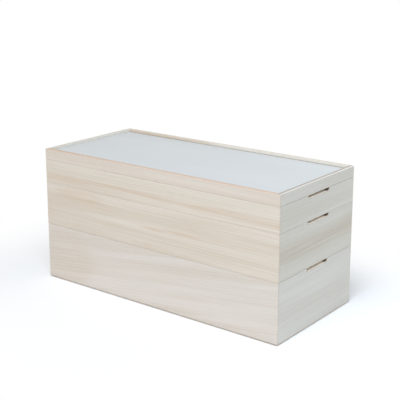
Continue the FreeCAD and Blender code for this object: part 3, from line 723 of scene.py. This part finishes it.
# Rim of the lid
# Four narrow boards stand round the panel; their planed upper edges show raw, warm tan wood.
# The corners are rebated like those of the boxes.
LID_FRONT_TONES = {"pale": "DDD2C6", "tan": "D6C8B9", "vein": "C8B6A3", "heart": "D0B394"}
LID_END_TONES = {"pale": "DBD8D0", "tan": "D4D0C6", "vein": "C5BEB1", "heart": "C9C0AF"}
LID_LEFT_TONES = {"pale": "E9E6DE", "tan": "E4E0D7", "vein": "D5CFC3", "heart": "CFC7BA"}
LID_BACK_TONES = {"pale": "E6DFD3", "tan": "E1D8CA", "vein": "D1C4B3", "heart": "D6BEA4"}
LID_BACK_STREAKS = ((0.5, 70, -0.3, 0.52, 0.75),)
BACK_EDGE = "D6CBBE"
LEFT_EDGE = "CEC2B2"
FRONT_ARRIS = "D3BCA9"
FRONT_LIP = "C8AB92"
FRONT_EDGE_KEPT = 0.65
# On the right rim the pale band along the top is a painted highlight on the outer arris
RIGHT_ARRIS_HIGHLIGHT = "E1DAD2"
RIGHT_LIP = "AFA499"
ARRIS_HEIGHT = 3.0
# Painted light on the inner faces of the left rim and of the back rim's right half
RIM_PAINTED_LIGHT = "F1ECE3"
LEFT_RIM_LIGHT_SHARE = 0.4
BACK_RIM_LIGHT_SHARE = 0.55
BACK_RIM_LIGHT_FROM = -250.0
BACK_RIM_LIGHT_FULL = 50.0
INWARD_START = 0.5
INWARD_FULL = 0.9
# Painted shade along the back rim's joint with the panel
RIM_JOINT_SHADE = "7D7266"
RIM_JOINT_SHADE_SHARE = 0.55
JOINT_HEIGHT = 3.0


def looks_in(tree, axis, sign, share=1.0):
    """A share on the faces of a rim board that look in over the panel along an axis, and zero elsewhere."""
    inward = add(tree, "SeparateXYZ", {0: add(tree, "TexCoord", out="Normal")}, out=axis)
    return add(tree, "MapRange", {0: inward, 1: sign * INWARD_START, 2: sign * INWARD_FULL, 4: share})


def inside_left(tree, colour, board, facings):
    """Painted light: paler colour on the inner face of the left rim."""
    inside = looks_in(tree, X, 1, LEFT_RIM_LIGHT_SHARE)
    return add(tree, "Mix", {0: inside, FROM: colour, TO: linear(RIM_PAINTED_LIGHT)}, **COLOUR_MIX)


def inside_back(tree, colour, board, facings):
    """Painted light on the right half of the back rim's inner face, and painted shade at its foot, where
    the panel goes in."""
    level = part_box("lid_panel")[1].z * MM
    inside = looks_in(tree, Y, -1)
    lit = add(tree, "MapRange", {0: board.axes[X], 1: BACK_RIM_LIGHT_FROM, 2: BACK_RIM_LIGHT_FULL,
                                   4: BACK_RIM_LIGHT_SHARE})
    lit = add(tree, "Math", {0: inside, 1: lit}, operation="MULTIPLY")
    colour = add(tree, "Mix", {0: lit, FROM: colour, TO: linear(RIM_PAINTED_LIGHT)}, **COLOUR_MIX)
    low = add(tree, "MapRange", {0: board.axes[Z], 1: level + JOINT_HEIGHT, 2: level + JOINT_HEIGHT / 2,
                                 4: RIM_JOINT_SHADE_SHARE})
    joint_shade = add(tree, "Math", {0: inside, 1: low}, operation="MULTIPLY")
    return add(tree, "Mix", {0: joint_shade, FROM: colour, TO: linear(RIM_JOINT_SHADE)}, **COLOUR_MIX)


def rim_top_edge(through, arris, lip, kept=1.0):
    """Upper edge of a rim board: a band of the arris colour along the top, and a darker line along the
    inner edge of the top face. Through is the axis across the board's thickness, and kept is what is
    left of both past the middle."""
    def tint(tree, colour, board, facings):
        top = board.high.z
        along = board.grain
        outer = abs(board.low[through] + board.high[through]) / 2 + board.size[through] / 2
        along_fade = add(tree, "MapRange", {0: board.axes[along], 1: board.low[along], 2: 0.0, 3: 1.0, 4: kept})
        upper = add(tree, "MapRange", {0: board.axes[Z], 1: top - ARRIS_HEIGHT, 2: top - ARRIS_HEIGHT / 2,
                                       4: along_fade})
        colour = add(tree, "Mix", {0: upper, FROM: colour, TO: linear(arris)}, **COLOUR_MIX)
        out = add(tree, "Math", {0: board.axes[through]}, operation="ABSOLUTE")
        inner = add(tree, "MapRange", {0: out, 1: outer - ARRIS_HEIGHT, 2: outer - 2 * ARRIS_HEIGHT})
        flat = add(tree, "MapRange", {0: facings[Z], **SQUARE_ON})
        inner_line = add(tree, "Math", {0: inner, 1: flat}, operation="MULTIPLY")
        inner_line = add(tree, "Math", {0: inner_line, 1: along_fade}, operation="MULTIPLY")
        return add(tree, "Mix", {0: inner_line, FROM: colour, TO: linear(lip)}, **COLOUR_MIX)
    return tint


front_top_edge = rim_top_edge(Y, FRONT_ARRIS, FRONT_LIP, FRONT_EDGE_KEPT)
# The right rim's top band is a painted highlight
right_top_edge = rim_top_edge(X, RIGHT_ARRIS_HIGHLIGHT, RIGHT_LIP)
paulownia("lid_front_rim", LID_FRONT_TONES, 13, tint=front_top_edge)
paulownia("lid_back_rim", LID_BACK_TONES, 14, LID_BACK_STREAKS, edge=BACK_EDGE, tint=inside_back)
paulownia("lid_left_rim", LID_LEFT_TONES, 15, edge=LEFT_EDGE, seam=STRONG_SEAM_SHADE_SHARE, tint=inside_left)
paulownia("lid_right_rim", LID_END_TONES, 16, seam=STRONG_SEAM_SHADE_SHARE, tint=right_top_edge)

# Panel of the lid
# A thin board faced with a smooth pale overlay, let into a groove round the rim;
# painted shade darkens it a little along the joint.
PANEL_STOPS = {0.35: "CECFCE", 0.65: "D2D3D2"}
PANEL_CLOUDS = (500.0, 60.0, 3.0)
PANEL_SEED = 3.0
PANEL_ROUGHNESS = {3: 0.50, 4: 0.58}
PANEL_SPECULAR = 0.3
PANEL_JOINT_SHADE = "B9B4AC"
PANEL_JOINT_SHADE_SHARE = 0.4
PANEL_JOINT_SHADE_WIDTH = 2.5
RIM_WALL = 14.0
tree, surface, panel_overlay = blank_finish("pale_overlay_panel")
board = lay_out(tree, "lid_panel")
cloud = stretched(tree, board, PANEL_CLOUDS, PANEL_SEED)
colour = add(tree, "ValToRGB", {0: cloud}, stops=PANEL_STOPS)
# Painted shade along the panel's edges, where it meets the rim
for axis in (X, Y):
    edge = cad_box[1][axis] * MM - RIM_WALL
    out = add(tree, "Math", {0: board.axes[axis]}, operation="ABSOLUTE")
    joint_shade = add(tree, "MapRange", {0: out, 1: edge - PANEL_JOINT_SHADE_WIDTH, 2: edge, 4: PANEL_JOINT_SHADE_SHARE},
               interpolation_type="SMOOTHSTEP")
    colour = add(tree, "Mix", {0: joint_shade, FROM: colour, TO: linear(PANEL_JOINT_SHADE)}, **COLOUR_MIX)
tree.links.new(colour, surface["Base Color"])
satin = add(tree, "MapRange", {0: cloud, **NOISE_SPAN, **PANEL_ROUGHNESS})
tree.links.new(satin, surface["Roughness"])
surface["Specular IOR Level"].default_value = PANEL_SPECULAR
dress("lid_panel", panel_overlay)

# Battens and screws of the lid
# The same ring of battens as under the boxes, but here its screws go outwards, level,
# into the rim, because the thin panel can't hold them.
LID_BATTEN_SEED = 30
RIM_SCREW_COVER = 5.0
level = UP * (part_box("lid_front_rim")[0].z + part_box("lid_panel")[0].z) / 2
rim_places = []
for i, side in enumerate(SIDES):
    ring_batten("lid", side, LID_BATTEN_SEED + i)
    rim_places += [(place + level, SIDES[side]) for place in along_batten("lid", side)]
rim_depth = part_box("lid_front_batten")[1].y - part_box("lid_front_rim")[0].y
drive(countersunk_screw(rim_depth * MM - RIM_SCREW_COVER), "lid_batten_screws", "lid", rim_places)

# Floor
# A plain white floor keeps the shadow round the chest and fades to pure white further out.
# Seen from below it is clear, and under the chest it lets soft light up to the casters.
WHITE = "FFFFFF"
FLOOR_ROUGHNESS = 0.9

# Lengths and places of the floor, the lamps and the camera are in metres
FLOOR_SIZE = 80.0
SHADOW_NEAR = 0.05
SHADOW_FAR = 0.60


def seen_directly(tree):
    """One for a ray from the camera, a gloss or a clear body, and zero for light that falls on a surface."""
    rays = add(tree, "LightPath").node.outputs
    seen = add(tree, "Math", {0: rays["Is Camera Ray"], 1: rays["Is Glossy Ray"]}, operation="MAXIMUM")
    return add(tree, "Math", {0: seen, 1: rays["Is Transmission Ray"]}, operation="MAXIMUM")


bpy.ops.object.select_all(action="DESELECT")
bpy.ops.mesh.primitive_plane_add(size=FLOOR_SIZE)
floor = bpy.context.object
floor.name = "floor"
tree, surface, floor_paint = blank_finish("white_floor_paint")
surface["Base Color"].default_value = linear(WHITE)
surface["Roughness"].default_value = FLOOR_ROUGHNESS
surface["Specular IOR Level"].default_value = 0.0
place = add(tree, "SeparateXYZ", {0: add(tree, "TexCoord", out="Object")}).node.outputs
beside = add(tree, "Math", {0: place[X]}, operation="ABSOLUTE")
beside = add(tree, "Math", {0: beside, 1: cad_box[1].x}, operation="SUBTRACT")
before = add(tree, "Math", {0: place[Y]}, operation="ABSOLUTE")
before = add(tree, "Math", {0: before, 1: cad_box[1].y}, operation="SUBTRACT")
away = add(tree, "Math", {0: beside, 1: before}, operation="MAXIMUM")
far = add(tree, "MapRange", {0: away, 1: SHADOW_NEAR, 2: SHADOW_FAR}, interpolation_type="SMOOTHSTEP")
far = add(tree, "Math", {0: far, 1: seen_directly(tree)}, operation="MULTIPLY")
white = add(tree, "Emission", {"Color": linear(WHITE), "Strength": 1.0})
shown = add(tree, "MixShader", {0: far, 1: tree.nodes["Principled BSDF"].outputs[0], 2: white})
unseen = add(tree, "Math", {0: 1.0, 1: seen_directly(tree)}, operation="SUBTRACT")
under = add(tree, "Math", {0: away, 1: 0.0}, operation="LESS_THAN")
under = add(tree, "Math", {0: under, 1: unseen}, operation="MULTIPLY")
below = add(tree, "NewGeometry", out="Backfacing")
clear = add(tree, "Math", {0: below, 1: under}, operation="MAXIMUM")
shown = add(tree, "MixShader", {0: clear, 1: shown, 2: add(tree, "BsdfTransparent")})
tree.links.new(shown, tree.nodes["Material Output"].inputs["Surface"])
floor.data.materials.append(floor_paint)

# Light
# An even white sky, a soft key light high in front, and two cool square lamps:
# a large one to the right and a smaller one behind.
SKY_LEVEL = 0.42
KEY_SHARE = 0.36
KEY_SOFTNESS = math.radians(40)
KEY_PLACE = Vector((0.0, -0.55, 0.835))
COOL_WHITE = "DCEEFF"
SIDE_SHARE = 0.40
SIDE_REACH = 2.95
SIDE_SIZE = 1.5
SIDE_PLACE = Vector((1.00, -1.60, 2.80))
SIDE_AIM = Vector((0.0, 0.0, 0.25))
REAR_SHARE = 0.30
REAR_REACH = 1.32
REAR_SIZE = 1.0
REAR_PLACE = Vector((0.90, 0.90, 1.30))
REAR_AIM = Vector((0.30, 0.0, 0.45))


def cool_lamp(name, reach, share, size):
    """Square lamp that lights a surface at its reach by a share of full white."""
    lamp = bpy.data.lights.new(name, "AREA")
    lamp.energy = (math.pi * reach) ** 2 * share
    lamp.color = linear(COOL_WHITE)[:3]
    lamp.size = size
    return lamp


sky = bpy.data.worlds.new("soft_sky")
bpy.context.scene.world = sky
sky.use_nodes = True
tree = sky.node_tree
strength = add(tree, "MapRange", {0: seen_directly(tree), 3: SKY_LEVEL, 4: 1.0})
tree.links.new(strength, tree.nodes["Background"].inputs["Strength"])
tree.nodes["Background"].inputs["Color"].default_value = linear(WHITE)
key_lamp = bpy.data.lights.new("key", "SUN")
key_lamp.energy = math.pi * KEY_SHARE
key_lamp.angle = KEY_SOFTNESS
for lamp, place, aim in (
    (key_lamp, KEY_PLACE, Vector()),
    (cool_lamp("side", SIDE_REACH, SIDE_SHARE, SIDE_SIZE), SIDE_PLACE, SIDE_AIM),
    (cool_lamp("rear", REAR_REACH, REAR_SHARE, REAR_SIZE), REAR_PLACE, REAR_AIM),
):
    light = bpy.data.objects.new(lamp.name, lamp)
    light.location = place
    light.rotation_euler = (place - aim).to_track_quat("Z", "Y").to_euler()
    light.visible_camera = False
    bpy.context.scene.collection.objects.link(light)

# Camera
# It stands in front and to the right, higher than the lid, and looks down a little;
# a small shift of the lens raises the chest to its place in the frame.
AZIMUTH = math.radians(37.655)
ELEVATION = math.radians(13.674)
DISTANCE = 3.158
ASIDE = 0.020
ABOVE = 0.436
FOCAL_LENGTH = 83.63
SENSOR_WIDTH = 36.0
LENS_SHIFT = -0.1
right = Vector((math.cos(AZIMUTH), math.sin(AZIMUTH), 0))
back = Vector((math.sin(AZIMUTH) * math.cos(ELEVATION), -math.cos(AZIMUTH) * math.cos(ELEVATION),
               math.sin(ELEVATION)))
lens = bpy.data.cameras.new("camera")
lens.lens = FOCAL_LENGTH
lens.sensor_width = SENSOR_WIDTH
lens.shift_y = LENS_SHIFT
camera = bpy.data.objects.new("camera", lens)
camera.location = back * DISTANCE + right * ASIDE + back.cross(right) * ABOVE
camera.rotation_euler = (-back).to_track_quat("-Z", "Y").to_euler()
bpy.context.scene.collection.objects.link(camera)
bpy.context.scene.camera = camera
bpy.context.scene.view_settings.view_transform = "Standard"
